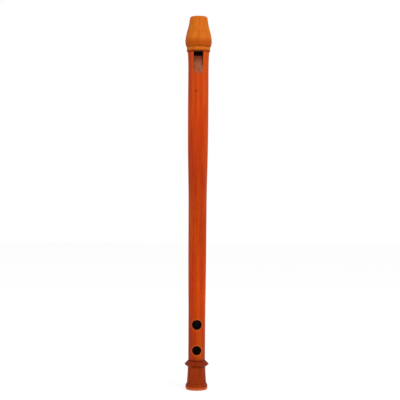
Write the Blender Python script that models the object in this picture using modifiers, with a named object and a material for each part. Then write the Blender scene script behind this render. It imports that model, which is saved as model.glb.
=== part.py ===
"""Tabor pipe: a wooden three-hole duct flute in D, played with one hand.

The pipe stands on its foot. The origin is the centre of the foot's end face, +Z runs up the bore to the
mouthpiece, and the window and the two finger holes face -Y. The thumb hole faces +Y. Sizes are in metres.
"""

import math

import bmesh
import bpy

# Lengths that stack up along the bore
FOOT_LENGTH = 0.0239
BODY_LENGTH = 0.2563
CAP_LENGTH = 0.0292

# Clearances
SEAT_GAP = 0.0003
TURNED_CLEARANCE = 0.0001
TENON_CLEARANCE = 0.0002

# Bore and joints
BORE_DIAMETER = 0.0090
BORE_END_FLARE = 0.0004
HEAD_TENON_LENGTH = 0.0130
HEAD_SOCKET_DIAMETER = 0.0160
FOOT_TENON_LENGTH = 0.0120
FOOT_SOCKET_DIAMETER = 0.0126
TENON_CHAMFER = 0.0004

# Waxed thread wound into a groove on each tenon
THREAD_DIAMETER = 0.0010
LAPPING_MARGIN = 0.0024
THREAD_CREST_SHARE = 0.5

# Body outline: share of the body's length below the head shoulder, diameter there
BODY_OUTLINE = (
    (0.00, 0.0179),
    (0.025, 0.0172),
    (0.057, 0.0169),
    (0.10, 0.0170),
    (0.25, 0.0170),
    (0.35, 0.0164),
    (0.455, 0.0153),
    (0.56, 0.0150),
    (0.66, 0.0149),
    (0.77, 0.0145),
    (0.84, 0.0141),
    (1.00, 0.0140),
)
BODY_EDGE_CHAMFER = 0.0003

# Finger and thumb holes: height above the foot's end, diameter
UPPER_FINGER_HOLE_HEIGHT = 0.0541
UPPER_FINGER_HOLE_DIAMETER = 0.0078
LOWER_FINGER_HOLE_HEIGHT = 0.0329
LOWER_FINGER_HOLE_DIAMETER = 0.0073
THUMB_HOLE_HEIGHT = 0.0690
THUMB_HOLE_DIAMETER = 0.0070

# Voicing: window, labium and windway
WINDOW_WIDTH = 0.0080
WINDOW_HEIGHT = 0.0044
WINDOW_RISE = 0.0009
LABIUM_LIFT = 0.00025
LABIUM_THICKNESS = 0.00015
RAMP_LENGTH = 0.0151
UNDERCUT_SLOPE = math.radians(15)
WINDWAY_WIDTH = 0.0076
WINDWAY_ROOF_LIFT = 0.0005
WINDWAY_EXIT_HEIGHT = 0.0009
WINDWAY_ENTRY_HEIGHT = 0.0014

# Mouthpiece cap outline: share of the bulb's length below the tip, diameter there
BULB_OUTLINE = (
    (0.00, 0.0143),
    (0.10, 0.0151),
    (0.25, 0.0162),
    (0.39, 0.0177),
    (0.52, 0.0195),
    (0.65, 0.0209),
    (0.80, 0.0220),
    (0.90, 0.0219),
    (1.00, 0.0209),
)
TIP_ROUNDING = 0.0010
CAP_RING_DIAMETER = 0.0196
CAP_RING_HEIGHT = 0.0035
CAP_GROOVE_DIAMETER = 0.0189
CAP_GROOVE_HEIGHT = 0.0004
CAP_BEAD_DIAMETER = 0.0204
CAP_BEAD_HEIGHT = 0.0009

# Beak: a hollow cut across the back of the cap and the block
BEAK_TIP_DEPTH = 0.0022
BEAK_RADIUS = 0.0240
BEAK_CENTRE_RISE = 0.0020

# Foot outline
RIM_HEIGHT = 0.0050
RIM_DIAMETER = 0.0184
END_FACE_DIAMETER = 0.0166
NECK_LOWER_DIAMETER = 0.0162
NECK_UPPER_DIAMETER = 0.0146
FOOT_RING_HEIGHT = 0.0052
FOOT_RING_DIAMETER = 0.0200
FOOT_RING_MOUTH_DIAMETER = 0.0150
FOOT_RING_TIP_SHARE = 0.52
FOOT_RING_TIP_ROUNDING = 0.0007

# Smoothness of the faceted solids
TURNED_SIDES = 40
HOLE_SIDES = 32
BEAK_SIDES = 72
CUTTER_OVERRUN = 0.0010

# Heights above the foot's end, worked out from the lengths
BODY_BASE = FOOT_LENGTH + SEAT_GAP
HEAD_SHOULDER = BODY_BASE + BODY_LENGTH
CAP_BASE = HEAD_SHOULDER + SEAT_GAP
TIP = CAP_BASE + CAP_LENGTH
WINDOW_TOP = HEAD_SHOULDER + WINDOW_RISE
LABIUM_EDGE = WINDOW_TOP - WINDOW_HEIGHT

# Distances from the bore's axis, worked out from the bore
BORE_RADIUS = BORE_DIAMETER / 2
LABIUM_FRONT = BORE_RADIUS + LABIUM_LIFT
WINDWAY_ROOF = BORE_RADIUS + WINDWAY_ROOF_LIFT
HEAD_TENON_RADIUS = HEAD_SOCKET_DIAMETER / 2 - TENON_CLEARANCE
FOOT_TENON_RADIUS = FOOT_SOCKET_DIAMETER / 2 - TENON_CLEARANCE


def clear_scene():
    for thing in list(bpy.data.objects):
        bpy.data.objects.remove(thing, do_unlink=True)


def new_collection(name):
    collection = bpy.data.collections.new(name)
    bpy.context.scene.collection.children.link(collection)
    return collection


def linear(colour):
    """Linear values of a colour written as sRGB bytes, with full alpha."""
    return [((part / 255 + 0.055) / 1.055) ** 2.4 for part in colour] + [1.0]


def plain_material(name, colour, roughness):
    material = bpy.data.materials.new(name)
    material.use_nodes = True
    shader = material.node_tree.nodes["Principled BSDF"]
    shader.inputs["Base Color"].default_value = linear(colour)
    shader.inputs["Roughness"].default_value = roughness
    shader.inputs["Metallic"].default_value = 0.0
    return material


def mesh_object(name, mesh, collection, material=None):
    piece = bpy.data.objects.new(name, mesh)
    collection.objects.link(piece)
    if material:
        mesh.materials.append(material)
    return piece


def outline_radius(outline, share):
    """Radius of a smooth outline of (share, diameter) stations, at a share between 0 and 1."""
    last = len(outline) - 1
    index = max(i for i in range(last) if outline[i][0] <= share)
    slopes = []
    for station in (index, index + 1):
        before, after = outline[max(station - 1, 0)], outline[min(station + 1, last)]
        slopes.append((after[1] - before[1]) / (after[0] - before[0]))
    (start, first), (end, second) = outline[index], outline[index + 1]
    span = end - start
    t = (share - start) / span
    diameter = (
        (2 * t**3 - 3 * t**2 + 1) * first
        + (t**3 - 2 * t**2 + t) * span * slopes[0]
        + (3 * t**2 - 2 * t**3) * second
        + (t**3 - t**2) * span * slopes[1]
    )
    return diameter / 2


def outline_points(outline, top, length, steps):
    """(radius, height) points down a smooth outline, each stretch between stations cut into steps."""
    shares = [outline[0][0]]
    for (start, _), (end, _) in zip(outline, outline[1:]):
        shares += [start + (end - start) * step / steps for step in range(1, steps + 1)]
    return [(outline_radius(outline, share), top - share * length) for share in shares]


def arc(centre, radii, start, end, steps):
    """(radius, height) points of an elliptical arc, by angle from straight out, positive upwards."""
    points = []
    for step in range(steps + 1):
        angle = math.radians(start + (end - start) * step / steps)
        points.append((centre[0] + radii[0] * math.cos(angle), centre[1] + radii[1] * math.sin(angle)))
    return points


def turned(name, outline, base, collection, material=None):
    """A closed (radius, height) outline, outer side first and downwards, turned about the bore's axis."""
    mesh = bpy.data.meshes.new(name)
    loop = [(index, (index + 1) % len(outline)) for index in range(len(outline))]
    mesh.from_pydata([(radius, 0, height - base) for radius, height in outline], loop, [])
    piece = mesh_object(name, mesh, collection, material)
    piece.location.z = base
    screw = piece.modifiers.new("turn", "SCREW")
    screw.axis = "Z"
    screw.angle = 2 * math.pi
    screw.steps = screw.render_steps = TURNED_SIDES
    screw.use_merge_vertices = True
    screw.merge_threshold = 0.00001
    screw.use_smooth_shade = True
    return piece


def swept(name, corners, sweep, collection, material=None):
    """A flat outline of 3-D corners swept straight along a vector."""
    shape = bmesh.new()
    face = shape.faces.new([shape.verts.new(corner) for corner in corners])
    grown = bmesh.ops.extrude_face_region(shape, geom=[face])["geom"]
    moved = [item for item in grown if isinstance(item, bmesh.types.BMVert)]
    bmesh.ops.translate(shape, vec=sweep, verts=moved)
    bmesh.ops.recalc_face_normals(shape, faces=shape.faces)
    mesh = bpy.data.meshes.new(name)
    shape.to_mesh(mesh)
    shape.free()
    return mesh_object(name, mesh, collection, material)


def front_prism(name, outline, width, cutters):
    """A cutter from an outline of (distance in front of the axis, height), as wide as given across X."""
    corners = [(-width / 2, -front, height) for front, height in outline]
    return as_cutter(swept(name, corners, (width, 0, 0), cutters))


def rod(name, radius, start, end, sides, cutters):
    """A round cutter between two points."""
    shape = bmesh.new()
    bmesh.ops.create_cone(
        shape,
        cap_ends=True,
        segments=sides,
        radius1=radius,
        radius2=radius,
        depth=math.dist(start, end),
    )
    mesh = bpy.data.meshes.new(name)
    shape.to_mesh(mesh)
    shape.free()
    piece = mesh_object(name, mesh, cutters)
    piece.location = [(low + high) / 2 for low, high in zip(start, end)]
    along_x = start[1:] == end[1:]
    piece.rotation_euler = (0, math.pi / 2, 0) if along_x else (math.pi / 2, 0, 0)
    return as_cutter(piece)


def as_cutter(piece):
    piece.hide_render = True
    piece.display_type = "WIRE"
    return piece


def cut(piece, *cutters):
    for cutter in cutters:
        boolean = piece.modifiers.new(cutter.name, "BOOLEAN")
        boolean.operation = "DIFFERENCE"
        boolean.solver = "EXACT"
        boolean.object = cutter


def groove_span(tenon_end, tenon_root):
    """Lowest height of a tenon's thread groove and its number of turns, centred on the tenon."""
    low, high = sorted((tenon_end, tenon_root))
    turns = int((high - low - 2 * LAPPING_MARGIN) / THREAD_DIAMETER + 1e-6)
    return (low + high - turns * THREAD_DIAMETER) / 2, turns


def groove_radius(tenon_radius):
    """The thread sinks into the groove until it stands halfway into the tenon's clearance."""
    return tenon_radius + TENON_CLEARANCE / 2 - THREAD_DIAMETER


def tenon_outline(radius, top, bottom):
    """Outer points of a tenon from its top down, with the thread's groove."""
    low, turns = groove_span(top, bottom)
    high = low + turns * THREAD_DIAMETER
    floor = groove_radius(radius)
    return [(radius, high), (floor, high), (floor, low), (radius, low)]


def body_outline():
    tenon_top = HEAD_SHOULDER + HEAD_TENON_LENGTH
    tenon_end = BODY_BASE - FOOT_TENON_LENGTH
    side = outline_points(BODY_OUTLINE, HEAD_SHOULDER, BODY_LENGTH, 2)
    side[0] = (side[0][0], HEAD_SHOULDER - BODY_EDGE_CHAMFER)
    side[-1] = (side[-1][0], BODY_BASE + BODY_EDGE_CHAMFER)
    return [
        (HEAD_TENON_RADIUS - TENON_CHAMFER, tenon_top),
        (HEAD_TENON_RADIUS, tenon_top - TENON_CHAMFER),
        *tenon_outline(HEAD_TENON_RADIUS, tenon_top, HEAD_SHOULDER),
        (HEAD_TENON_RADIUS, HEAD_SHOULDER),
        (side[0][0] - BODY_EDGE_CHAMFER, HEAD_SHOULDER),
        *side,
        (side[-1][0] - BODY_EDGE_CHAMFER, BODY_BASE),
        (FOOT_TENON_RADIUS, BODY_BASE),
        *tenon_outline(FOOT_TENON_RADIUS, BODY_BASE, tenon_end),
        (FOOT_TENON_RADIUS, tenon_end + TENON_CHAMFER),
        (FOOT_TENON_RADIUS - TENON_CHAMFER, tenon_end),
        (BORE_RADIUS, tenon_end),
        (BORE_RADIUS, tenon_top),
    ]


def body_radius(height):
    return outline_radius(BODY_OUTLINE, (HEAD_SHOULDER - height) / BODY_LENGTH)


def voicing_cutters(cutters):
    """Window with its ramp, hollow under the labium edge, and windway slot through the head tenon."""
    ramp_tip = LABIUM_EDGE - RAMP_LENGTH
    ramp_rise = (body_radius(ramp_tip) - LABIUM_FRONT) / RAMP_LENGTH
    clear_front = body_radius(HEAD_SHOULDER) + CUTTER_OVERRUN
    ramp_end = LABIUM_EDGE - (clear_front - LABIUM_FRONT) / ramp_rise
    window = [
        (0, WINDOW_TOP),
        (clear_front, WINDOW_TOP),
        (clear_front, ramp_end),
        (LABIUM_FRONT, LABIUM_EDGE),
        (0, LABIUM_EDGE),
    ]
    edge_back = LABIUM_FRONT - LABIUM_THICKNESS
    inside_window = LABIUM_EDGE + CUTTER_OVERRUN
    undercut = [
        (0, inside_window),
        (edge_back + CUTTER_OVERRUN * math.tan(UNDERCUT_SLOPE), inside_window),
        (0, LABIUM_EDGE - edge_back / math.tan(UNDERCUT_SLOPE)),
    ]
    return [
        front_prism("cut_window_and_ramp", window, WINDOW_WIDTH, cutters),
        front_prism("cut_labium_underside", undercut, WINDOW_WIDTH, cutters),
    ]


def windway_cutter(name, low, high, cutters):
    slot = [(0, low), (WINDWAY_ROOF, low), (WINDWAY_ROOF, high), (0, high)]
    return front_prism(name, slot, WINDWAY_WIDTH, cutters)


def hole_cutter(name, height, diameter, front, cutters):
    """A hole drilled from outside to the bore's axis, in front or behind."""
    reach = (body_radius(height) + CUTTER_OVERRUN) * (-1 if front else 1)
    return rod(name, diameter / 2, (0, 0, height), (0, reach, height), HOLE_SIDES, cutters)


def make_body(collection, cutters):
    wood = plain_material("stained_body_wood", (188, 64, 6), 0.38)
    body = turned("pipe_body", body_outline(), BODY_BASE, collection, wood)
    tenon_top = HEAD_SHOULDER + HEAD_TENON_LENGTH
    windway_low = WINDOW_TOP - CUTTER_OVERRUN / 2
    cut(
        body,
        *voicing_cutters(cutters),
        windway_cutter("cut_body_windway", windway_low, tenon_top + CUTTER_OVERRUN, cutters),
        hole_cutter("cut_upper_finger_hole", UPPER_FINGER_HOLE_HEIGHT, UPPER_FINGER_HOLE_DIAMETER, True, cutters),
        hole_cutter("cut_lower_finger_hole", LOWER_FINGER_HOLE_HEIGHT, LOWER_FINGER_HOLE_DIAMETER, True, cutters),
        hole_cutter("cut_thumb_hole", THUMB_HOLE_HEIGHT, THUMB_HOLE_DIAMETER, False, cutters),
    )
    return body


def make_lapping(name, tenon_radius, tenon_end, tenon_root, collection, material):
    """Turns of thread side by side, each with a rounded crest."""
    low, turns = groove_span(tenon_end, tenon_root)
    crest = tenon_radius + TENON_CLEARANCE / 2
    valley = crest - THREAD_DIAMETER / 4
    inner = groove_radius(tenon_radius) + TURNED_CLEARANCE
    high = low + turns * THREAD_DIAMETER
    flank = THREAD_DIAMETER * (1 - THREAD_CREST_SHARE) / 2
    outline = [(valley, high - TURNED_CLEARANCE)]
    for turn in range(turns):
        top = high - turn * THREAD_DIAMETER
        outline += [(crest, top - flank), (crest, top - THREAD_DIAMETER + flank)]
        outline.append((valley, top - THREAD_DIAMETER))
    outline[-1] = (valley, low + TURNED_CLEARANCE)
    outline += [(inner, low + TURNED_CLEARANCE), (inner, high - TURNED_CLEARANCE)]
    return turned(name, outline, low, collection, material)


def cap_outline():
    """Bulb, fine bead, groove and ring outside; socket and bore inside."""
    collar_height = CAP_RING_HEIGHT + CAP_GROOVE_HEIGHT + CAP_BEAD_HEIGHT
    bulb = outline_points(BULB_OUTLINE, TIP, CAP_LENGTH - collar_height, 2)
    tip_radius = bulb[0][0]
    corner = (tip_radius - TIP_ROUNDING, TIP - TIP_ROUNDING)
    bead_radius = CAP_BEAD_DIAMETER / 2
    ring_radius = CAP_RING_DIAMETER / 2
    groove_floor = CAP_GROOVE_DIAMETER / 2
    bead_middle = CAP_BASE + CAP_RING_HEIGHT + CAP_GROOVE_HEIGHT + CAP_BEAD_HEIGHT / 2
    bead_depth = bead_radius - groove_floor
    ring_depth = ring_radius - groove_floor
    socket_radius = HEAD_SOCKET_DIAMETER / 2
    socket_roof = HEAD_SHOULDER + HEAD_TENON_LENGTH + SEAT_GAP
    return [
        *arc(corner, (TIP_ROUNDING, TIP_ROUNDING), 90, 0, 3),
        *[point for point in bulb if point[1] < corner[1]],
        *arc((groove_floor, bead_middle), (bead_depth, CAP_BEAD_HEIGHT / 2), 70, -90, 4),
        (groove_floor, CAP_BASE + CAP_RING_HEIGHT),
        *arc((groove_floor, CAP_BASE + CAP_RING_HEIGHT / 2), (ring_depth, CAP_RING_HEIGHT / 2), 60, -60, 4),
        (groove_floor, CAP_BASE),
        (socket_radius, CAP_BASE),
        (socket_radius, socket_roof),
        (BORE_RADIUS, socket_roof),
        (BORE_RADIUS, TIP),
    ]


def beak_cutter(name, cutters):
    """A lying cylinder that hollows the back, so that the lower lip has a seat."""
    centre_height = TIP + BEAK_CENTRE_RISE
    centre_back = BEAK_TIP_DEPTH + math.sqrt(BEAK_RADIUS**2 - BEAK_CENTRE_RISE**2)
    half_width = max(diameter for _, diameter in BULB_OUTLINE) / 2 + CUTTER_OVERRUN
    start = (-half_width, centre_back, centre_height)
    end = (half_width, centre_back, centre_height)
    return rod(name, BEAK_RADIUS, start, end, BEAK_SIDES, cutters)


def make_cap(collection, cutters, beak):
    wood = plain_material("golden_cap_wood", (208, 110, 32), 0.42)
    cap = turned("mouthpiece_cap", cap_outline(), CAP_BASE, collection, wood)
    windway_low = HEAD_SHOULDER + HEAD_TENON_LENGTH - CUTTER_OVERRUN
    cut(cap, windway_cutter("cut_cap_windway", windway_low, TIP + CUTTER_OVERRUN, cutters), beak)
    return cap


def make_block(collection, cutters, beak, cap):
    """Round behind, with a square-shouldered land in front that is the floor of the windway."""
    wood = plain_material("block_wood", (176, 112, 78), 0.6)
    radius = BORE_RADIUS - TURNED_CLEARANCE
    half_width = WINDWAY_WIDTH / 2 - TURNED_CLEARANCE
    floor_exit = WINDWAY_ROOF - WINDWAY_EXIT_HEIGHT
    floor_entry = WINDWAY_ROOF - WINDWAY_ENTRY_HEIGHT
    shoulder = math.acos(half_width / radius)
    round_steps = TURNED_SIDES * 3 // 4
    corners = [(half_width, -floor_exit, 0)]
    for step in range(round_steps + 1):
        angle = -shoulder + (math.pi + 2 * shoulder) * step / round_steps
        corners.append((radius * math.cos(angle), radius * math.sin(angle), 0))
    corners.append((-half_width, -floor_exit, 0))
    length = TIP - WINDOW_TOP
    block = swept("fipple_block", corners, (0, 0, length), collection, wood)
    block.location.z = WINDOW_TOP - CAP_BASE
    block.parent = cap
    fall = (floor_exit - floor_entry) / length
    past_tip = TIP + CUTTER_OVERRUN
    proud = floor_exit + CUTTER_OVERRUN
    floor = [
        (floor_exit, WINDOW_TOP),
        (proud, WINDOW_TOP),
        (proud, past_tip),
        (floor_entry - CUTTER_OVERRUN * fall, past_tip),
    ]
    cut(block, front_prism("cut_windway_floor", floor, WINDWAY_WIDTH + CUTTER_OVERRUN, cutters), beak)
    return block


def foot_outline():
    """Ring at the socket's mouth, flared neck and rim outside; socket and bore inside."""
    ring_top = FOOT_LENGTH
    ring_bottom = FOOT_LENGTH - FOOT_RING_HEIGHT
    tip_height = ring_top - FOOT_RING_HEIGHT * FOOT_RING_TIP_SHARE
    rounding = FOOT_RING_TIP_ROUNDING
    ring_centre = (FOOT_RING_DIAMETER / 2 - rounding, tip_height)
    neck_upper = NECK_UPPER_DIAMETER / 2
    neck_lower = NECK_LOWER_DIAMETER / 2
    rim_radius = RIM_DIAMETER / 2
    end_radius = END_FACE_DIAMETER / 2
    rim_centre = (end_radius, RIM_HEIGHT / 2)
    socket_radius = FOOT_SOCKET_DIAMETER / 2
    socket_floor = BODY_BASE - FOOT_TENON_LENGTH - SEAT_GAP
    neck = [(neck_upper, ring_bottom)]
    for step in range(1, 5):
        share = step / 4
        radius = neck_upper + (neck_lower - neck_upper) * share**1.4
        neck.append((radius, ring_bottom + (RIM_HEIGHT - ring_bottom) * share))
    return [
        (FOOT_RING_MOUTH_DIAMETER / 2, ring_top),
        *arc(ring_centre, (rounding, rounding), 60, -60, 4),
        *neck,
        *arc(rim_centre, (rim_radius - end_radius, RIM_HEIGHT / 2), 90, -90, 6),
        (BORE_RADIUS + BORE_END_FLARE, 0),
        (BORE_RADIUS, BORE_END_FLARE),
        (BORE_RADIUS, socket_floor),
        (socket_radius, socket_floor),
        (socket_radius, ring_top),
    ]


def make_foot(collection):
    wood = plain_material("dark_foot_wood", (142, 46, 6), 0.36)
    return turned("foot_joint", foot_outline(), 0, collection, wood)


def main():
    clear_scene()
    pipe = new_collection("tabor_pipe")
    cutters = new_collection("cutters")
    thread = plain_material("waxed_thread", (206, 178, 128), 0.7)
    beak = beak_cutter("cut_beak", cutters)
    make_body(pipe, cutters)
    cap = make_cap(pipe, cutters, beak)
    make_block(pipe, cutters, beak, cap)
    make_foot(pipe)
    head_tenon_end = HEAD_SHOULDER + HEAD_TENON_LENGTH
    foot_tenon_end = BODY_BASE - FOOT_TENON_LENGTH
    make_lapping("head_tenon_lapping", HEAD_TENON_RADIUS, head_tenon_end, HEAD_SHOULDER, pipe, thread)
    make_lapping("foot_tenon_lapping", FOOT_TENON_RADIUS, foot_tenon_end, BODY_BASE, pipe, thread)


main()
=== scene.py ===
"""The looks of the tabor pipe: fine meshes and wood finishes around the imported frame. Sizes are in metres.

The pipe stands on its foot at the origin, its bore along +Z, with the window and the finger holes towards -Y.
"""

import math

import bmesh
import bpy
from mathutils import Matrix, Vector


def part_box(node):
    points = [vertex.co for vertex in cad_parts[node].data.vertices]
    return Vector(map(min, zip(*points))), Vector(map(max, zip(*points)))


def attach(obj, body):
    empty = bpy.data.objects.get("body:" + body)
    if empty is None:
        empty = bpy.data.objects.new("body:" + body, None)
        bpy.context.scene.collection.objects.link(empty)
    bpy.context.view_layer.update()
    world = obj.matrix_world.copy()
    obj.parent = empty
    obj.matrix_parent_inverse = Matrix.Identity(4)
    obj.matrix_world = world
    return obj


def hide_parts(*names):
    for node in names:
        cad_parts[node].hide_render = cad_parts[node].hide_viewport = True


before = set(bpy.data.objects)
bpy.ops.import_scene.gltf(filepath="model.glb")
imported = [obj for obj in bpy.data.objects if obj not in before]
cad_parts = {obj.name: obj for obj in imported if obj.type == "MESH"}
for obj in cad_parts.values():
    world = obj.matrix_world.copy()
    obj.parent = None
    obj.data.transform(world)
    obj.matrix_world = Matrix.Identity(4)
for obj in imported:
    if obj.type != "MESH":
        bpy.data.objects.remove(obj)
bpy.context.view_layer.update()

# Heights read from the frame
FOOT_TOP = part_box("foot_joint")[1][2]
TENON_END, TENON_TOP = (corner[2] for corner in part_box("pipe_body"))
CAP_BASE, TIP = (corner[2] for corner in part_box("mouthpiece_cap"))
WINDOW_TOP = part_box("fipple_block")[0][2]
SEAT_GAP = 0.0003
BODY_BASE = FOOT_TOP + SEAT_GAP
HEAD_SHOULDER = CAP_BASE - SEAT_GAP
BODY_LENGTH = HEAD_SHOULDER - BODY_BASE
CAP_LENGTH = TIP - CAP_BASE

# Bore, tenons and clearances
BORE_RADIUS = 0.0045
HEAD_SOCKET_RADIUS = 0.0080
FOOT_SOCKET_RADIUS = 0.0063
TENON_CLEARANCE = 0.0002
HEAD_TENON_RADIUS = HEAD_SOCKET_RADIUS - TENON_CLEARANCE
FOOT_TENON_RADIUS = FOOT_SOCKET_RADIUS - TENON_CLEARANCE
TURNED_CLEARANCE = 0.0001
EDGE_ROUNDING = 0.0004
GROOVE_DEPTH = 0.0009

# Body outline: share of the body's length below the head shoulder, diameter there
BODY_OUTLINE = (
    (0.00, 0.0179),
    (0.025, 0.0172),
    (0.057, 0.0169),
    (0.10, 0.0170),
    (0.25, 0.0170),
    (0.35, 0.0164),
    (0.455, 0.0153),
    (0.56, 0.0150),
    (0.66, 0.0149),
    (0.77, 0.0145),
    (0.84, 0.0141),
    (1.00, 0.0140),
)

# Holes: height, radius, side (-1 in front, 1 behind)
UPPER_FINGER_HOLE = (0.0541, 0.0039, -1)
LOWER_FINGER_HOLE = (0.0329, 0.00365, -1)
THUMB_HOLE = (0.0690, 0.0035, 1)
HOLE_RIM_ROUNDING = 0.00045

# Voicing
WINDOW_WIDTH = 0.0080
LABIUM_EDGE = WINDOW_TOP - 0.0044
LABIUM_FRONT = BORE_RADIUS + 0.00025
LABIUM_THICKNESS = 0.00015
RAMP_LENGTH = 0.0151
UNDERCUT_SLOPE = math.radians(15)
WINDWAY_WIDTH = 0.0076
WINDWAY_ROOF = BORE_RADIUS + 0.0005
WINDWAY_EXIT_HEIGHT = 0.0009
WINDWAY_ENTRY_HEIGHT = 0.0014

# Mouthpiece cap outline: share of the bulb's length below the tip, diameter there
BULB_OUTLINE = (
    (0.00, 0.0143),
    (0.10, 0.0151),
    (0.25, 0.0162),
    (0.39, 0.0177),
    (0.52, 0.0195),
    (0.65, 0.0209),
    (0.80, 0.0220),
    (0.90, 0.0219),
    (1.00, 0.0209),
)
TIP_ROUNDING = 0.0010
CAP_RING_RADIUS = 0.0098
CAP_RING_HEIGHT = 0.0035
CAP_RING_CREST_SHARE = 0.62
CAP_GROOVE_RADIUS = 0.00945
CAP_GROOVE_HEIGHT = 0.0004
CAP_BEAD_RADIUS = 0.0102
CAP_BEAD_HEIGHT = 0.0009
BEAK_TIP_DEPTH = 0.0022
BEAK_RADIUS = 0.0240
BEAK_CENTRE_RISE = 0.0020

# Foot outline
RIM_HEIGHT = 0.0050
RIM_RADIUS = 0.0092
END_FACE_RADIUS = 0.0083
NECK_LOWER_RADIUS = 0.0081
NECK_UPPER_RADIUS = 0.0073
NECK_FLARE_POWER = 1.4
FOOT_RING_HEIGHT = 0.0052
FOOT_RING_RADIUS = 0.0100
FOOT_RING_MOUTH_RADIUS = 0.0075
FOOT_RING_TIP_SHARE = 0.52
FOOT_RING_TIP_ROUNDING = 0.0007
BORE_END_FLARE = 0.0004

# Thread
THREAD_DIAMETER = 0.0005
THREAD_BEVEL_SHARE = 0.52
THREAD_POINTS_PER_TURN = 48

# Fineness of the meshes
TURNED_SIDES = 128
OUTLINE_STEPS = 10
ARC_STEPS = 12
HOLE_SIDES = 96
OVERRUN = 0.0010

# Pin knot in the body's upper front
KNOT = (-0.0016, -0.0084, 0.2474)
KNOT_RADIUS = 0.0012

# Camera: level, in front, at the photograph's distance and slight roll
CAMERA_DISTANCE = 0.875
CAMERA_AIM = (0.0020, 0.1575)
FRAME_WIDTH = 0.3333
SENSOR_WIDTH = 36.0
CAMERA_ROLL = math.radians(0.36)

# Stage and lights: place, size and power of each lamp
STAGE_HALF_WIDTH = 3.0
STAGE_WHITE_SHARE = 0.6
STAGE_WHITE_STRENGTH = 1.22
ROOM_LIGHT = 0.66
ROOM_SEEN = 1.0
KEY_LIGHT = ((0.55, -0.75, 0.75), 0.35, 5.0)
FILL_LIGHT = ((-0.9, -0.6, 0.4), 0.9, 2.0)


def linear(colour):
    """Linear values of a colour written as sRGB bytes, with full alpha."""
    parts = [part / 255 for part in colour]
    return [part / 12.92 if part < 0.04 else ((part + 0.055) / 1.055) ** 2.4 for part in parts] + [1.0]


# Outlines


def outline_radius(outline, share):
    """Radius of a smooth outline of (share, diameter) stations, at a share between 0 and 1."""
    last = len(outline) - 1
    index = max(i for i in range(last) if outline[i][0] <= share)
    slopes = []
    for station in (index, index + 1):
        before, after = outline[max(station - 1, 0)], outline[min(station + 1, last)]
        slopes.append((after[1] - before[1]) / (after[0] - before[0]))
    (start, first), (end, second) = outline[index], outline[index + 1]
    span = end - start
    t = (share - start) / span
    diameter = (
        (2 * t**3 - 3 * t**2 + 1) * first
        + (t**3 - 2 * t**2 + t) * span * slopes[0]
        + (3 * t**2 - 2 * t**3) * second
        + (t**3 - t**2) * span * slopes[1]
    )
    return diameter / 2


def outline_points(outline, top, length, steps):
    shares = [outline[0][0]]
    for (start, _), (end, _) in zip(outline, outline[1:]):
        shares += [start + (end - start) * step / steps for step in range(1, steps + 1)]
    return [(outline_radius(outline, share), top - share * length) for share in shares]


def arc(centre, radii, start, end, steps=ARC_STEPS):
    """(radius, height) points of an elliptical arc, by angle from straight out, positive upwards."""
    points = []
    for step in range(steps + 1):
        angle = math.radians(start + (end - start) * step / steps)
        points.append((centre[0] + radii[0] * math.cos(angle), centre[1] + radii[1] * math.sin(angle)))
    return points


def rounded(corner, towards_start, towards_end, size=EDGE_ROUNDING, steps=4):
    """Points that round an outline's corner, between unit directions back along both sides."""
    points = []
    for step in range(steps + 1):
        t = step / steps
        before, after = (1 - t) ** 2 * size, t**2 * size
        points.append(tuple(corner[i] + before * towards_start[i] + after * towards_end[i] for i in (0, 1)))
    return points


UP, DOWN, IN, OUT = (0, 1), (0, -1), (-1, 0), (1, 0)


def body_radius(height):
    return outline_radius(BODY_OUTLINE, (HEAD_SHOULDER - height) / BODY_LENGTH)


# Meshes


def link(name, mesh, *materials):
    piece = bpy.data.objects.new(name, mesh)
    bpy.context.scene.collection.objects.link(piece)
    for material in materials:
        mesh.materials.append(material)
    return piece


def mesh_from(shape, name):
    bmesh.ops.recalc_face_normals(shape, faces=shape.faces)
    mesh = bpy.data.meshes.new(name)
    shape.to_mesh(mesh)
    shape.free()
    return mesh


def lofted(name, rings, closed, *materials):
    """A mesh through rings of points. The rings join end to end if closed, or else get flat caps."""
    shape = bmesh.new()
    rows = [[shape.verts.new(point) for point in ring] for ring in rings]
    pairs = list(zip(rows, rows[1:]))
    if closed:
        pairs.append((rows[-1], rows[0]))
    else:
        shape.faces.new(rows[0])
        shape.faces.new(rows[-1])
    for low, high in pairs:
        for index in range(len(low)):
            after = (index + 1) % len(low)
            shape.faces.new((low[index], low[after], high[after], high[index]))
    return link(name, mesh_from(shape, name), *materials)


def turned(name, outline, *materials):
    """A closed (radius, height) outline turned about the bore's axis."""
    turns = [2 * math.pi * side / TURNED_SIDES for side in range(TURNED_SIDES)]
    rings = [
        [(radius * math.cos(turn), radius * math.sin(turn), height) for turn in turns]
        for radius, height in outline
    ]
    return lofted(name, rings, True, *materials)


def swept(name, corners, sweep, *materials):
    """A flat outline of 3-D corners swept straight along a vector."""
    far = [tuple(c + s for c, s in zip(corner, sweep)) for corner in corners]
    return lofted(name, [corners, far], False, *materials)


def front_prism(name, outline, width, *materials):
    corners = [(-width / 2, -front, height) for front, height in outline]
    return swept(name, corners, (width, 0, 0), *materials)


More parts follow.
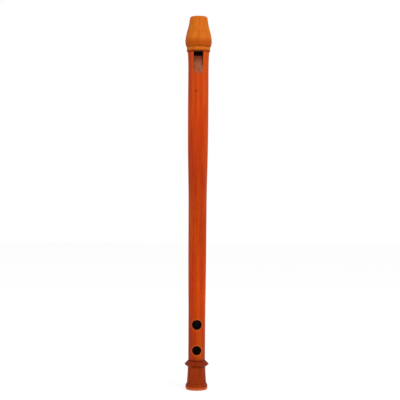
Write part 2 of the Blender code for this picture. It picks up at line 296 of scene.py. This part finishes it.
def hole_plug(name, hole, *materials):
    """What a drill and a smoothed rim take away, from the bore's axis out past the surface."""
    height, radius, side = hole
    surface = body_radius(height)
    angles = [2 * math.pi * turn / HOLE_SIDES for turn in range(HOLE_SIDES)]

    def depth(out, angle):
        return math.sqrt(surface**2 - (out * math.cos(angle)) ** 2)

    def ring(place):
        points = []
        for angle in angles:
            out, reach = place(angle)
            points.append((out * math.cos(angle), side * reach, height + out * math.sin(angle)))
        return points

    def rim(t):
        def place(angle):
            wall = (radius - OVERRUN / 50, depth(radius, angle) - HOLE_RIM_ROUNDING)
            edge = (radius, depth(radius, angle))
            top = (radius + HOLE_RIM_ROUNDING, depth(radius + HOLE_RIM_ROUNDING, angle) + OVERRUN / 50)
            shares = ((1 - t) ** 2, 2 * t * (1 - t), t**2)
            return [sum(s * p[i] for s, p in zip(shares, (wall, edge, top))) for i in (0, 1)]
        return place

    rings = [ring(lambda angle: (radius, 0))]
    rings += [ring(rim(step / 6)) for step in range(7)]
    rings.append(ring(lambda angle: (radius + HOLE_RIM_ROUNDING, surface + OVERRUN)))
    return lofted(name, rings, False, *materials)


def carve(piece, cutters):
    """Cuts the piece and keeps the result as its mesh."""
    for cutter in cutters:
        boolean = piece.modifiers.new(cutter.name, "BOOLEAN")
        boolean.operation = "DIFFERENCE"
        boolean.solver = "EXACT"
        boolean.material_mode = "TRANSFER"
        boolean.object = cutter
    graph = bpy.context.evaluated_depsgraph_get()
    mesh = bpy.data.meshes.new_from_object(piece.evaluated_get(graph))
    piece.modifiers.clear()
    piece.data = mesh
    return piece


def finish_faces(piece, sharp_angle=35):
    piece.data.shade_smooth()
    piece.data.set_sharp_from_angle(angle=math.radians(sharp_angle))
    return piece


def paint_faces(piece, material, wanted):
    """Gives a second material to the faces whose centre passes a test."""
    mesh = piece.data
    if material.name not in mesh.materials:
        mesh.materials.append(material)
    slot = mesh.materials.find(material.name)
    for face in mesh.polygons:
        if wanted(face.center):
            face.material_index = slot


def in_bore(centre):
    return math.hypot(centre.x, centre.y) < BORE_RADIUS * 1.001


# Materials


class Nodes:
    """Short ways to build one material's node tree in the piece's own coordinates."""

    def __init__(self, name):
        self.material = bpy.data.materials.new(name)
        self.material.use_nodes = True
        self.tree = self.material.node_tree
        self.shader = self.tree.nodes["Principled BSDF"]
        self.place = self.add("ShaderNodeTexCoord").outputs["Object"]
        split = self.add("ShaderNodeSeparateXYZ")
        self.join(self.place, split.inputs[0])
        self.x, self.y, self.z = split.outputs

    def add(self, kind, **settings):
        made = self.tree.nodes.new(kind)
        for name, value in settings.items():
            setattr(made, name, value)
        return made

    def join(self, source, target):
        if hasattr(source, "links"):
            self.tree.links.new(source, target)
        else:
            target.default_value = source

    def noise(self, stretch, detail=3.0, roughness=0.55, distortion=0.0):
        """Noise with cells about 1/stretch across along each axis."""
        mapping = self.add("ShaderNodeMapping")
        self.join(self.place, mapping.inputs["Vector"])
        mapping.inputs["Scale"].default_value = stretch
        texture = self.add("ShaderNodeTexNoise")
        self.join(mapping.outputs[0], texture.inputs["Vector"])
        texture.inputs["Scale"].default_value = 1.0
        texture.inputs["Detail"].default_value = detail
        texture.inputs["Roughness"].default_value = roughness
        texture.inputs["Distortion"].default_value = distortion
        return texture.outputs[0]

    def math(self, operation, first, second=0.0):
        made = self.add("ShaderNodeMath", operation=operation)
        self.join(first, made.inputs[0])
        self.join(second, made.inputs[1])
        return made.outputs[0]

    def fade(self, value, low, high, start=0.0, end=1.0):
        """A smooth step from start to end as value goes from low to high."""
        made = self.add("ShaderNodeMapRange", interpolation_type="SMOOTHSTEP")
        self.join(value, made.inputs["Value"])
        made.inputs["From Min"].default_value = low
        made.inputs["From Max"].default_value = high
        made.inputs["To Min"].default_value = start
        made.inputs["To Max"].default_value = end
        return made.outputs[0]

    def ramp(self, value, *stops):
        made = self.add("ShaderNodeValToRGB")
        self.join(value, made.inputs[0])
        marks = made.color_ramp.elements
        while len(marks) < len(stops):
            marks.new(0.5)
        for mark, (position, colour) in zip(marks, stops):
            mark.position = position
            mark.color = linear(colour)
        return made.outputs[0]

    def mix(self, share, first, second, blend="MIX"):
        made = self.add("ShaderNodeMix", data_type="RGBA", blend_type=blend)
        self.join(share, made.inputs[0])
        self.join(first, made.inputs[6])
        self.join(second, made.inputs[7])
        return made.outputs[2]

    def distance(self, point):
        made = self.add("ShaderNodeVectorMath", operation="DISTANCE")
        self.join(self.place, made.inputs[0])
        made.inputs[1].default_value = point
        return made.outputs["Value"]

    def bump(self, height, strength, distance):
        made = self.add("ShaderNodeBump")
        self.join(height, made.inputs["Height"])
        made.inputs["Strength"].default_value = strength
        made.inputs["Distance"].default_value = distance
        self.join(made.outputs[0], self.shader.inputs["Normal"])

    def finish(self, colour, roughness, specular=0.06):
        self.join(colour, self.shader.inputs["Base Color"])
        self.join(roughness, self.shader.inputs["Roughness"])
        self.shader.inputs["Specular IOR Level"].default_value = specular
        return self.material


def hole_band(wood, hole, inner, outer):
    """1 close round a hole's rim, fading to 0 at the outer radius."""
    height, radius, side = hole
    across = wood.math("POWER", wood.x, 2.0)
    rise = wood.math("POWER", wood.math("SUBTRACT", wood.z, height), 2.0)
    apart = wood.math("SQRT", wood.math("ADD", across, rise))
    near = wood.fade(apart, radius + inner, radius + outer, 1.0, 0.0)
    facing = wood.math("GREATER_THAN", wood.math("MULTIPLY", wood.y, side), 0.0)
    return wood.math("MULTIPLY", near, facing)


def body_material():
    """Stained, oiled wood: long red and orange streaks, short dark flecks, a pin knot, painted highlights
    round the holes' rims and painted shade along the length.
    """
    wood = Nodes("stained_body_wood")
    streak = wood.noise((420, 420, 9), 4.0, 0.6, 0.3)
    fine = wood.noise((1700, 1700, 60), 3.0, 0.6)
    broad = wood.noise((90, 90, 14), 2.0)
    colour = wood.ramp(streak, (0.30, (176, 46, 4)), (0.50, (194, 62, 6)), (0.72, (210, 82, 10)))
    # Tint along the length: painted shade, darkest near the foot, and a darker middle that is partly the
    # wood's own tone
    height = wood.math("MULTIPLY", wood.z, 1 / TIP)
    tone_with_painted_shade = wood.ramp(
        height,
        (0.06, (186, 182, 190)),
        (0.16, (226, 214, 218)),
        (0.28, (254, 250, 244)),
        (0.42, (230, 222, 220)),
        (0.58, (228, 218, 216)),
        (0.72, (250, 242, 236)),
        (0.90, (250, 250, 250)),
    )
    colour = wood.mix(0.9, colour, tone_with_painted_shade, "MULTIPLY")
    colour = wood.mix(wood.fade(broad, 0.35, 0.7, 0.0, 0.30), colour, linear((222, 96, 18)))
    colour = wood.mix(wood.fade(fine, 0.42, 0.66, 0.0, 0.28), colour, linear((146, 34, 4)))
    fleck = wood.noise((2300, 2300, 190), 2.0, 0.5)
    middle = wood.math("MULTIPLY", wood.fade(wood.z, 0.06, 0.10), wood.fade(wood.z, 0.15, 0.20, 1.0, 0.25))
    fleck = wood.math("MULTIPLY", wood.fade(fleck, 0.60, 0.68, 0.0, 0.55), middle)
    colour = wood.mix(fleck, colour, linear((104, 24, 6)))
    knot = wood.fade(wood.distance(KNOT), KNOT_RADIUS * 0.35, KNOT_RADIUS, 0.85, 0.0)
    colour = wood.mix(knot, colour, linear((104, 14, 4)))
    for hole in (UPPER_FINGER_HOLE, LOWER_FINGER_HOLE, THUMB_HOLE):
        # Painted highlight round each hole: a faint lighter orange glow, and a paler thin ring at the rim
        painted_hole_glow = wood.math("MULTIPLY", hole_band(wood, hole, 0.0006, 0.0022), 0.30)
        colour = wood.mix(painted_hole_glow, colour, linear((204, 84, 24)))
        painted_rim_highlight = wood.math("MULTIPLY", hole_band(wood, hole, 0.0002, 0.0007), 0.75)
        colour = wood.mix(painted_rim_highlight, colour, linear((212, 122, 66)))
    # Darker over the lowest 2.2 mm of the body, next to the foot
    base_darkening = wood.fade(wood.z, BODY_BASE, BODY_BASE + 0.0022, 0.55, 0.0)
    colour = wood.mix(base_darkening, colour, linear((92, 26, 6)))
    wood.bump(wood.math("ADD", fine, streak), 0.10, 0.0001)
    return wood.finish(colour, wood.fade(fine, 0.3, 0.7, 0.34, 0.46))


def cap_material():
    """Golden wood with faint turning lines, and painted shade below the bulb, in the groove and under the
    ring.
    """
    wood = Nodes("golden_cap_wood")
    grain = wood.noise((520, 520, 40), 4.0, 0.6, 0.4)
    mottle = wood.noise((260, 260, 130), 3.0)
    colour = wood.ramp(grain, (0.30, (190, 88, 10)), (0.52, (200, 101, 18)), (0.74, (212, 118, 30)))
    colour = wood.mix(wood.fade(mottle, 0.45, 0.75, 0.0, 0.25), colour, linear((214, 124, 38)))
    bulb_low = CAP_BASE + CAP_RING_HEIGHT + CAP_GROOVE_HEIGHT
    # Painted shade on the underside of the bulb
    under = wood.math(
        "MULTIPLY",
        wood.fade(wood.z, bulb_low, bulb_low + 0.0012),
        wood.fade(wood.z, bulb_low + 0.0025, bulb_low + 0.0085, 0.75, 0.0),
    )
    colour = wood.mix(under, colour, linear((166, 66, 4)))
    # Painted shade in the groove between the bulb and the ring
    across, deep = wood.math("POWER", wood.x, 2.0), wood.math("POWER", wood.y, 2.0)
    radius = wood.math("SQRT", wood.math("ADD", across, deep))
    low_part = wood.fade(wood.z, bulb_low + 0.0012, bulb_low + 0.0016, 1.0, 0.0)
    recess = wood.fade(radius, CAP_GROOVE_RADIUS, CAP_GROOVE_RADIUS + 0.0003, 0.75, 0.0)
    groove = wood.math("MULTIPLY", recess, low_part)
    colour = wood.mix(groove, colour, linear((120, 42, 6)))
    # Painted shade on the underside of the cap's ring
    painted_ring_underside_shade = wood.fade(wood.z, CAP_BASE + 0.0005, CAP_BASE + 0.0018, 0.65, 0.0)
    colour = wood.mix(painted_ring_underside_shade, colour, linear((122, 46, 4)))
    turning = wood.noise((8, 8, 3800), 2.0)
    wood.bump(wood.math("ADD", turning, grain), 0.12, 0.0001)
    return wood.finish(colour, wood.fade(mottle, 0.3, 0.7, 0.42, 0.55))


def foot_material():
    """The darker, redder wood of the foot, with end grain showing as fine flecks and a painted highlight on
    the rim's lower half.
    """
    wood = Nodes("dark_foot_wood")
    grain = wood.noise((620, 620, 45), 4.0, 0.6, 0.3)
    fleck = wood.noise((2400, 2400, 420), 2.0)
    colour = wood.ramp(grain, (0.30, (124, 36, 4)), (0.52, (148, 48, 6)), (0.74, (168, 64, 10)))
    ring = wood.fade(wood.z, FOOT_TOP - FOOT_RING_HEIGHT * 1.2, FOOT_TOP - FOOT_RING_HEIGHT * 0.9, 0.0, 0.45)
    colour = wood.mix(ring, colour, linear((112, 28, 6)))
    colour = wood.mix(wood.fade(fleck, 0.58, 0.70, 0.0, 0.35), colour, linear((84, 20, 4)))
    # Painted highlight on the lower half of the foot's rim
    painted_foot_rim_highlight = wood.fade(wood.z, RIM_HEIGHT * 0.20, RIM_HEIGHT * 0.62, 0.9, 0.0)
    colour = wood.mix(painted_foot_rim_highlight, colour, linear((212, 100, 40)))
    wood.bump(wood.math("ADD", fleck, grain), 0.12, 0.0001)
    return wood.finish(colour, wood.fade(grain, 0.3, 0.7, 0.32, 0.44))


def bare_material():
    """Unstained wood of the labium ramp, pinkish and darker towards the edge."""
    wood = Nodes("bare_labium_wood")
    grain = wood.noise((900, 900, 70), 4.0, 0.65)
    blot = wood.noise((420, 420, 300), 2.0)
    colour = wood.ramp(grain, (0.30, (134, 68, 42)), (0.55, (156, 88, 62)), (0.75, (176, 112, 84)))
    colour = wood.mix(wood.fade(blot, 0.40, 0.70, 0.0, 0.45), colour, linear((124, 58, 30)))
    # Darker towards the labium edge
    edge_darkening = wood.fade(wood.z, LABIUM_EDGE - 0.0075, LABIUM_EDGE, 0.0, 0.8)
    colour = wood.mix(edge_darkening, colour, linear((102, 32, 8)))
    wood.bump(grain, 0.15, 0.0001)
    return wood.finish(colour, 0.62)


def wall_material():
    """Side walls of the window and of the holes: stained and dull, and dark as painted shade."""
    wood = Nodes("cut_wall_wood_painted_shade")
    grain = wood.noise((800, 800, 80), 3.0)
    # Painted shade: the cut walls are coloured dark
    colour = wood.ramp(grain, (0.35, (78, 22, 8)), (0.65, (110, 34, 10)))
    wood.bump(grain, 0.1, 0.0001)
    return wood.finish(colour, 0.6)


def bore_material():
    wood = Nodes("oiled_bore_wood")
    grain = wood.noise((700, 700, 30), 3.0)
    colour = wood.ramp(grain, (0.35, (52, 36, 38)), (0.65, (74, 52, 50)))
    wood.bump(grain, 0.1, 0.0001)
    return wood.finish(colour, 0.5)


def block_material():
    """Plain, unvarnished conifer wood with close straight grain."""
    wood = Nodes("block_wood")
    rings = wood.noise((1500, 420, 12), 3.0, 0.6, 0.2)
    colour = wood.ramp(rings, (0.32, (158, 92, 58)), (0.50, (182, 118, 82)), (0.70, (200, 142, 104)))
    wood.bump(rings, 0.15, 0.0001)
    return wood.finish(colour, 0.68)


def thread_material():
    fibre = Nodes("waxed_thread")
    twist = fibre.noise((2600, 2600, 5200), 3.0)
    colour = fibre.ramp(twist, (0.30, (176, 146, 98)), (0.55, (206, 178, 128)), (0.75, (226, 204, 160)))
    fibre.bump(twist, 0.3, 0.00008)
    fibre.finish(colour, 0.62)
    fibre.shader.inputs["Sheen Weight"].default_value = 0.15
    return fibre.material


# Pieces


def groove_ends(lapping):
    """Low and high end of a tenon's groove, from the CAD lapping that lies in it."""
    low, high = (corner[2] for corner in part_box(lapping))
    return low - TURNED_CLEARANCE, high + TURNED_CLEARANCE


def tenon_side(radius, lapping):
    low, high = groove_ends(lapping)
    floor = radius - GROOVE_DEPTH
    return [(radius, high), (floor, high), (floor, low), (radius, low)]


def body_outline():
    side = outline_points(BODY_OUTLINE, HEAD_SHOULDER, BODY_LENGTH, OUTLINE_STEPS)
    top_corner = (side[0][0], HEAD_SHOULDER)
    low_corner = (side[-1][0], BODY_BASE)
    inside = [p for p in side if BODY_BASE + EDGE_ROUNDING < p[1] < HEAD_SHOULDER - EDGE_ROUNDING]
    head, foot = HEAD_TENON_RADIUS, FOOT_TENON_RADIUS
    return [
        *rounded((head, TENON_TOP), IN, DOWN),
        *tenon_side(head, "head_tenon_lapping"),
        (head, HEAD_SHOULDER),
        *rounded(top_corner, IN, DOWN),
        *inside,
        *rounded(low_corner, UP, IN),
        (foot, BODY_BASE),
        *tenon_side(foot, "foot_tenon_lapping"),
        *rounded((foot, TENON_END), UP, IN),
        (BORE_RADIUS, TENON_END),
        (BORE_RADIUS, TENON_TOP),
    ]


def voicing_cutters(bare, wall):
    ramp_tip = LABIUM_EDGE - RAMP_LENGTH
    ramp_rise = (body_radius(ramp_tip) - LABIUM_FRONT) / RAMP_LENGTH
    clear_front = body_radius(HEAD_SHOULDER) + OVERRUN
    ramp_end = LABIUM_EDGE - (clear_front - LABIUM_FRONT) / ramp_rise
    window = [
        (0, WINDOW_TOP),
        (clear_front, WINDOW_TOP),
        (clear_front, ramp_end),
        (LABIUM_FRONT, LABIUM_EDGE),
        (0, LABIUM_EDGE),
    ]
    edge_back = LABIUM_FRONT - LABIUM_THICKNESS
    inside_window = LABIUM_EDGE + OVERRUN
    undercut = [
        (0, inside_window),
        (edge_back + OVERRUN * math.tan(UNDERCUT_SLOPE), inside_window),
        (0, LABIUM_EDGE - edge_back / math.tan(UNDERCUT_SLOPE)),
    ]
    window_cutter = front_prism("window_cutter", window, WINDOW_WIDTH, wall, bare)
    for face in window_cutter.data.polygons:
        on_ramp = abs(face.normal.x) < 0.5 and face.center.z < LABIUM_EDGE and face.center.y > -clear_front
        face.material_index = 1 if on_ramp else 0
    return [window_cutter, front_prism("undercut_cutter", undercut, WINDOW_WIDTH, wall)]


def windway_cutter(low, high, wall):
    slot = [(0, low), (WINDWAY_ROOF, low), (WINDWAY_ROOF, high), (0, high)]
    return front_prism("windway_cutter", slot, WINDWAY_WIDTH, wall)


def discard(cutters):
    for cutter in cutters:
        bpy.data.objects.remove(cutter, do_unlink=True)


def make_body(bare, wall, bore):
    body = turned("pipe_body_wood", body_outline(), body_material())
    cutters = voicing_cutters(bare, wall)
    cutters.append(windway_cutter(WINDOW_TOP - OVERRUN / 2, TENON_TOP + OVERRUN, wall))
    cutters.append(hole_plug("upper_hole_cutter", UPPER_FINGER_HOLE, wall))
    cutters.append(hole_plug("lower_hole_cutter", LOWER_FINGER_HOLE, wall))
    cutters.append(hole_plug("thumb_hole_cutter", THUMB_HOLE, wall))
    carve(body, cutters)
    discard(cutters)
    paint_faces(body, bore, in_bore)
    finish_faces(body)
    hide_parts("pipe_body")
    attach(body, "body")


def cap_outline():
    collar = CAP_RING_HEIGHT + CAP_GROOVE_HEIGHT + CAP_BEAD_HEIGHT
    bulb = outline_points(BULB_OUTLINE, TIP, CAP_LENGTH - collar, OUTLINE_STEPS)
    corner = (bulb[0][0] - TIP_ROUNDING, TIP - TIP_ROUNDING)
    bead_middle = CAP_BASE + CAP_RING_HEIGHT + CAP_GROOVE_HEIGHT + CAP_BEAD_HEIGHT / 2
    groove, bead, ring = CAP_GROOVE_RADIUS, CAP_BEAD_RADIUS, CAP_RING_RADIUS
    crest = CAP_RING_HEIGHT * CAP_RING_CREST_SHARE
    crest_centre = (groove, CAP_BASE + crest)
    socket_roof = TENON_TOP + SEAT_GAP
    return [
        *arc(corner, (TIP_ROUNDING, TIP_ROUNDING), 90, 0),
        *[point for point in bulb if point[1] < corner[1]],
        *arc((groove, bead_middle), (bead - groove, CAP_BEAD_HEIGHT / 2), 70, -90),
        (groove, CAP_BASE + CAP_RING_HEIGHT),
        *arc(crest_centre, (ring - groove, CAP_RING_HEIGHT - crest), 72, 0)[:-1],
        *arc(crest_centre, (ring - groove, crest), 0, -72),
        (groove, CAP_BASE),
        (HEAD_SOCKET_RADIUS, CAP_BASE),
        (HEAD_SOCKET_RADIUS, socket_roof),
        (BORE_RADIUS, socket_roof),
        (BORE_RADIUS, TIP),
    ]


def beak_cutter():
    """A lying cylinder that hollows the back, with no material of its own."""
    centre_height = TIP + BEAK_CENTRE_RISE
    centre_back = BEAK_TIP_DEPTH + math.sqrt(BEAK_RADIUS**2 - BEAK_CENTRE_RISE**2)
    half_width = max(diameter for _, diameter in BULB_OUTLINE) / 2 + OVERRUN
    corners = []
    sides = 4 * TURNED_SIDES
    for side in range(sides):
        angle = 2 * math.pi * side / sides
        back = centre_back + BEAK_RADIUS * math.cos(angle)
        corners.append((-half_width, back, centre_height + BEAK_RADIUS * math.sin(angle)))
    return swept("beak_cutter", corners, (2 * half_width, 0, 0))


def make_cap(wall, bore):
    golden = cap_material()
    cap = turned("mouthpiece_cap_wood", cap_outline(), golden)
    beak = beak_cutter()
    beak.data.materials.append(golden)
    cutters = [windway_cutter(TENON_TOP - OVERRUN, TIP + OVERRUN, wall), beak]
    carve(cap, cutters)
    discard(cutters)
    paint_faces(cap, bore, in_bore)
    finish_faces(cap)
    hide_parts("mouthpiece_cap")
    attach(cap, "cap")


def make_block():
    pale = block_material()
    radius = BORE_RADIUS - TURNED_CLEARANCE
    half_width = WINDWAY_WIDTH / 2 - TURNED_CLEARANCE
    floor_exit = WINDWAY_ROOF - WINDWAY_EXIT_HEIGHT
    floor_entry = WINDWAY_ROOF - WINDWAY_ENTRY_HEIGHT
    shoulder = math.acos(half_width / radius)
    corners = [(half_width, -floor_exit, WINDOW_TOP)]
    for step in range(TURNED_SIDES + 1):
        angle = -shoulder + (math.pi + 2 * shoulder) * step / TURNED_SIDES
        corners.append((radius * math.cos(angle), radius * math.sin(angle), WINDOW_TOP))
    corners.append((-half_width, -floor_exit, WINDOW_TOP))
    length = TIP - WINDOW_TOP
    block = swept("fipple_block_wood", corners, (0, 0, length), pale)
    fall = (floor_exit - floor_entry) / length
    floor = [
        (floor_exit, WINDOW_TOP),
        (floor_exit + OVERRUN, WINDOW_TOP),
        (floor_exit + OVERRUN, TIP + OVERRUN),
        (floor_entry - OVERRUN * fall, TIP + OVERRUN),
    ]
    beak = beak_cutter()
    cutters = [front_prism("floor_cutter", floor, WINDWAY_WIDTH + OVERRUN), beak]
    for cutter in cutters:
        cutter.data.materials.append(pale)
    carve(block, cutters)
    discard(cutters)
    finish_faces(block)
    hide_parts("fipple_block")
    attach(block, "block")


def foot_outline():
    ring_bottom = FOOT_TOP - FOOT_RING_HEIGHT
    tip_height = FOOT_TOP - FOOT_RING_HEIGHT * FOOT_RING_TIP_SHARE
    rounding = FOOT_RING_TIP_ROUNDING
    rim_centre = (END_FACE_RADIUS, RIM_HEIGHT / 2)
    neck_steps = 3 * OUTLINE_STEPS
    neck = []
    for step in range(neck_steps + 1):
        share = step / neck_steps
        radius = NECK_UPPER_RADIUS + (NECK_LOWER_RADIUS - NECK_UPPER_RADIUS) * share**NECK_FLARE_POWER
        neck.append((radius, ring_bottom + (RIM_HEIGHT - ring_bottom) * share))
    return [
        (FOOT_RING_MOUTH_RADIUS, FOOT_TOP),
        *arc((FOOT_RING_RADIUS - rounding, tip_height), (rounding, rounding), 60, -60),
        *neck,
        *arc(rim_centre, (RIM_RADIUS - END_FACE_RADIUS, RIM_HEIGHT / 2), 90, -90, 2 * ARC_STEPS),
        *rounded((BORE_RADIUS, 0), OUT, UP, BORE_END_FLARE),
        (BORE_RADIUS, TENON_END - SEAT_GAP),
        (FOOT_SOCKET_RADIUS, TENON_END - SEAT_GAP),
        (FOOT_SOCKET_RADIUS, FOOT_TOP),
    ]


def make_foot(bore):
    foot = turned("foot_joint_wood", foot_outline(), foot_material())
    paint_faces(foot, bore, in_bore)
    finish_faces(foot)
    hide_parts("foot_joint")
    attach(foot, "foot")


def make_lapping(node, tenon_radius, fibre):
    """One thread wound round and round the groove, over a core of earlier turns."""
    low, high = (corner[2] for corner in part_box(node))
    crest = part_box(node)[1][0]
    middle = crest - THREAD_DIAMETER / 2
    rise = high - low - THREAD_DIAMETER
    turns = int(rise / THREAD_DIAMETER)
    count = turns * THREAD_POINTS_PER_TURN
    curve = bpy.data.curves.new(node + "_thread", "CURVE")
    curve.dimensions = "3D"
    curve.bevel_depth = THREAD_DIAMETER * THREAD_BEVEL_SHARE
    curve.bevel_resolution = 2
    curve.use_fill_caps = True
    spline = curve.splines.new("POLY")
    spline.points.add(count)
    for index, point in enumerate(spline.points):
        angle = 2 * math.pi * index / THREAD_POINTS_PER_TURN
        height = low + THREAD_DIAMETER / 2 + rise * index / count
        point.co = (middle * math.cos(angle), middle * math.sin(angle), height, 1.0)
    curve.materials.append(fibre)
    thread = bpy.data.objects.new(node + "_thread", curve)
    bpy.context.scene.collection.objects.link(thread)
    inner = tenon_radius - GROOVE_DEPTH + TURNED_CLEARANCE / 2
    core_outline = [(middle, high), (middle, low), (inner, low), (inner, high)]
    core = turned(node + "_core", core_outline, fibre)
    finish_faces(core)
    for piece in (thread, core):
        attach(piece, "body")
    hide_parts(node)


# Stage, lights and camera


def stage_material():
    """Pale paper: white to the camera, yet it keeps part of the shadow that falls on it."""
    paper = bpy.data.materials.new("pale_paper")
    paper.use_nodes = True
    tree = paper.node_tree
    shader = tree.nodes["Principled BSDF"]
    shader.inputs["Base Color"].default_value = linear((246, 246, 245))
    shader.inputs["Roughness"].default_value = 0.9
    white = tree.nodes.new("ShaderNodeEmission")
    white.inputs["Strength"].default_value = STAGE_WHITE_STRENGTH
    rays = tree.nodes.new("ShaderNodeLightPath")
    seen = tree.nodes.new("ShaderNodeMath")
    seen.operation = "MAXIMUM"
    tree.links.new(rays.outputs["Is Camera Ray"], seen.inputs[0])
    tree.links.new(rays.outputs["Is Glossy Ray"], seen.inputs[1])
    share = tree.nodes.new("ShaderNodeMath")
    share.operation = "MULTIPLY"
    share.inputs[1].default_value = STAGE_WHITE_SHARE
    tree.links.new(seen.outputs[0], share.inputs[0])
    both = tree.nodes.new("ShaderNodeMixShader")
    tree.links.new(share.outputs[0], both.inputs[0])
    tree.links.new(shader.outputs[0], both.inputs[1])
    tree.links.new(white.outputs[0], both.inputs[2])
    tree.links.new(both.outputs[0], tree.nodes["Material Output"].inputs["Surface"])
    return paper


def make_stage():
    half = STAGE_HALF_WIDTH
    corners = [(-half, -half, 0), (half, -half, 0), (half, half, 0), (-half, half, 0)]
    shape = bmesh.new()
    shape.faces.new([shape.verts.new(corner) for corner in corners])
    floor = link("floor", mesh_from(shape, "floor"), stage_material())


def make_world():
    world = bpy.data.worlds.new("soft_white_room")
    bpy.context.scene.world = world
    world.use_nodes = True
    tree = world.node_tree
    background = tree.nodes["Background"]
    background.inputs["Color"].default_value = (1.0, 1.0, 1.0, 1.0)
    rays = tree.nodes.new("ShaderNodeLightPath")
    strength = tree.nodes.new("ShaderNodeMapRange")
    strength.inputs["To Min"].default_value = ROOM_LIGHT
    strength.inputs["To Max"].default_value = ROOM_SEEN
    tree.links.new(rays.outputs["Is Camera Ray"], strength.inputs["Value"])
    tree.links.new(strength.outputs[0], background.inputs["Strength"])


def area_light(name, aim, place, size, power):
    """A square lamp at a place, turned towards its aim."""
    lamp = bpy.data.lights.new(name, "AREA")
    lamp.shape = "SQUARE"
    lamp.size = size
    lamp.energy = power
    light = bpy.data.objects.new(name, lamp)
    light.location = place
    direction = [a - p for a, p in zip(aim, place)]
    flat = math.hypot(direction[0], direction[1])
    pitch = math.atan2(flat, -direction[2])
    heading = math.atan2(direction[1], direction[0]) - math.pi / 2
    light.rotation_euler = (pitch, 0, heading)
    bpy.context.scene.collection.objects.link(light)


def make_lights():
    middle = (0, 0, TIP / 2)
    area_light("key", middle, *KEY_LIGHT)
    area_light("fill", middle, *FILL_LIGHT)


def make_camera():
    lens = bpy.data.cameras.new("camera")
    lens.sensor_width = SENSOR_WIDTH
    lens.lens = SENSOR_WIDTH * CAMERA_DISTANCE / FRAME_WIDTH
    camera = bpy.data.objects.new("camera", lens)
    camera.location = (CAMERA_AIM[0], -CAMERA_DISTANCE, CAMERA_AIM[1])
    camera.rotation_euler = (math.pi / 2, -CAMERA_ROLL, 0)
    bpy.context.scene.collection.objects.link(camera)
    bpy.context.scene.camera = camera


def main():
    bpy.context.scene.view_settings.view_transform = "Standard"
    make_camera()
    make_world()
    make_lights()
    make_stage()
    bare = bare_material()
    wall = wall_material()
    bore = bore_material()
    fibre = thread_material()
    make_body(bare, wall, bore)
    make_cap(wall, bore)
    make_block()
    make_foot(bore)
    make_lapping("head_tenon_lapping", HEAD_TENON_RADIUS, fibre)
    make_lapping("foot_tenon_lapping", FOOT_TENON_RADIUS, fibre)


main()
